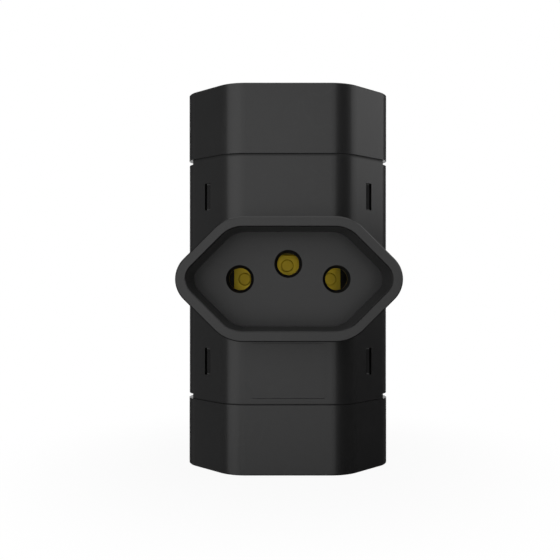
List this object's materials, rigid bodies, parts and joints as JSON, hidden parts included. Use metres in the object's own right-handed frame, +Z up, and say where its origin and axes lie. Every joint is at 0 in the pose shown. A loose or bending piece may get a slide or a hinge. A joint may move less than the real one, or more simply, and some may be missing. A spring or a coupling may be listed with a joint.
{
  "type": "mains plug adapter",
  "caption": "T-shaped mains plug adapter with recessed hexagonal outlets on its front and both ends and a round-pin plug on its back.",
  "frame": {"origin": "middle of the plug's face, where its pins come out", "axes": "+Z up along the body, +Y the way the plug's pins point, front outlet towards -Y"},
  "size_m": [0.041, 0.0636, 0.0758],
  "materials": {
    "black_plastic": "fine satin moulding texture",
    "strip_brass": "rolled strip, slightly dull",
    "pin_brass": "turned, bright"
  },
  "bodies": {
    "root": {"front_shell": "black_plastic", "rear_shell": "black_plastic", "top_outlet_cap": "black_plastic", "bottom_outlet_cap": "black_plastic", "clip_rivets": "strip_brass", "live_bar": "strip_brass", "front_live_clip": "strip_brass", "top_live_clip": "strip_brass", "bottom_live_clip": "strip_brass", "neutral_bar": "strip_brass", "front_neutral_clip": "strip_brass", "top_neutral_clip": "strip_brass", "bottom_neutral_clip": "strip_brass", "earth_bar": "strip_brass", "front_earth_clip": "strip_brass", "top_earth_clip": "strip_brass", "bottom_earth_clip": "strip_brass", "live_pin": "pin_brass", "neutral_pin": "pin_brass", "earth_pin": "pin_brass"}
  },
  "joints": []
}
